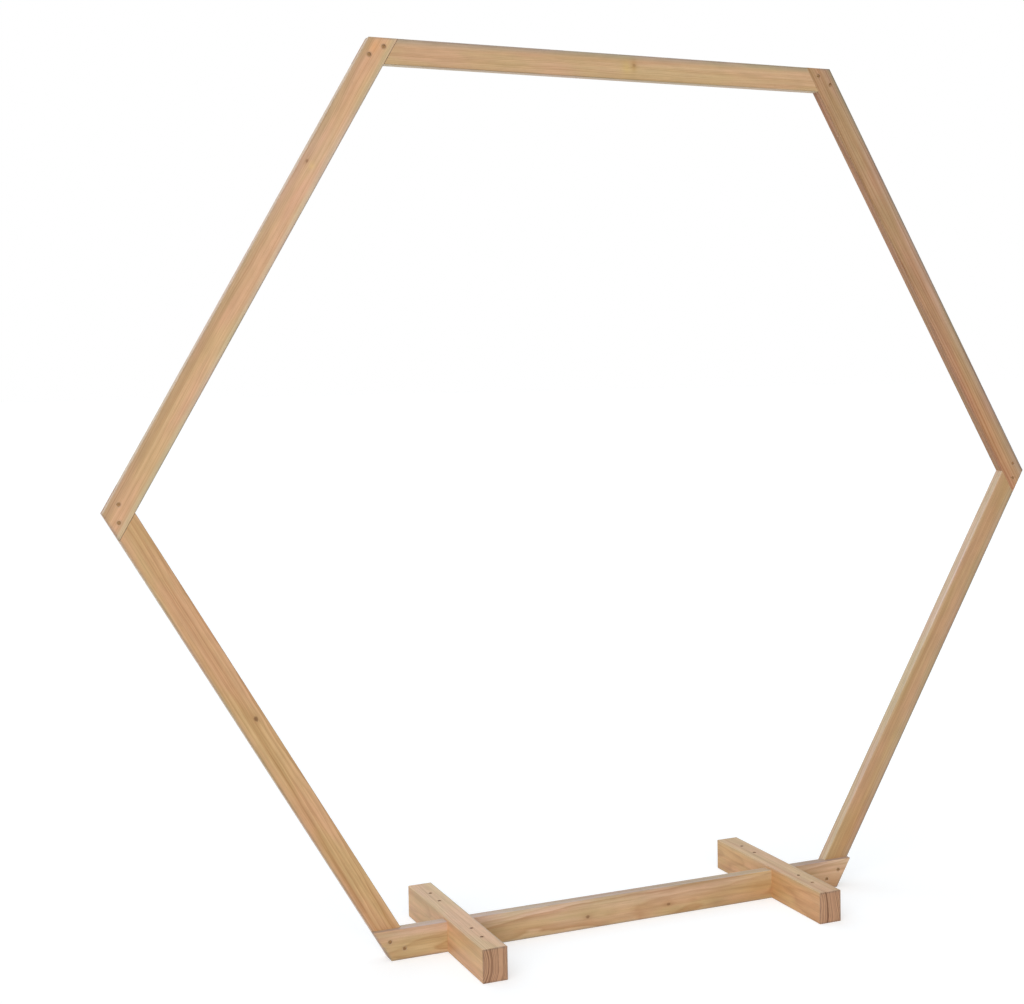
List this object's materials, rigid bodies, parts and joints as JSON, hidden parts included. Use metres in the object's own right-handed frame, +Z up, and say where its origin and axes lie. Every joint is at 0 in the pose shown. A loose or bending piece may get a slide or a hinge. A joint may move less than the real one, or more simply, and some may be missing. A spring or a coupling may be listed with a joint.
{
  "type": "hexagonal wooden wedding arch",
  "caption": "Open hexagonal frame of half-lapped pine rails, standing upright on cross feet, for hanging flowers at a wedding.",
  "frame": {"origin": "middle of the object's footprint, on the floor", "axes": "+X along the frame's width, to the right seen from the front; +Y towards the back; +Z up"},
  "size_m": [2.2, 0.484, 1.9163],
  "materials": {
    "pine_rails": "sanded, clear matt oil",
    "pine_feet": "sanded, clear matt oil",
    "screws": "yellow-brown zinc"
  },
  "bodies": {
    "root": {"top_rail": "pine_rails", "upper_left_rail": "pine_rails", "upper_right_rail": "pine_rails", "lower_left_rail": "pine_rails", "lower_right_rail": "pine_rails", "bottom_rail": "pine_rails", "left_foot_board": "pine_feet", "left_foot_front_block": "pine_feet", "left_foot_back_block": "pine_feet", "right_foot_board": "pine_feet", "right_foot_front_block": "pine_feet", "right_foot_back_block": "pine_feet"}
  },
  "joints": []
}
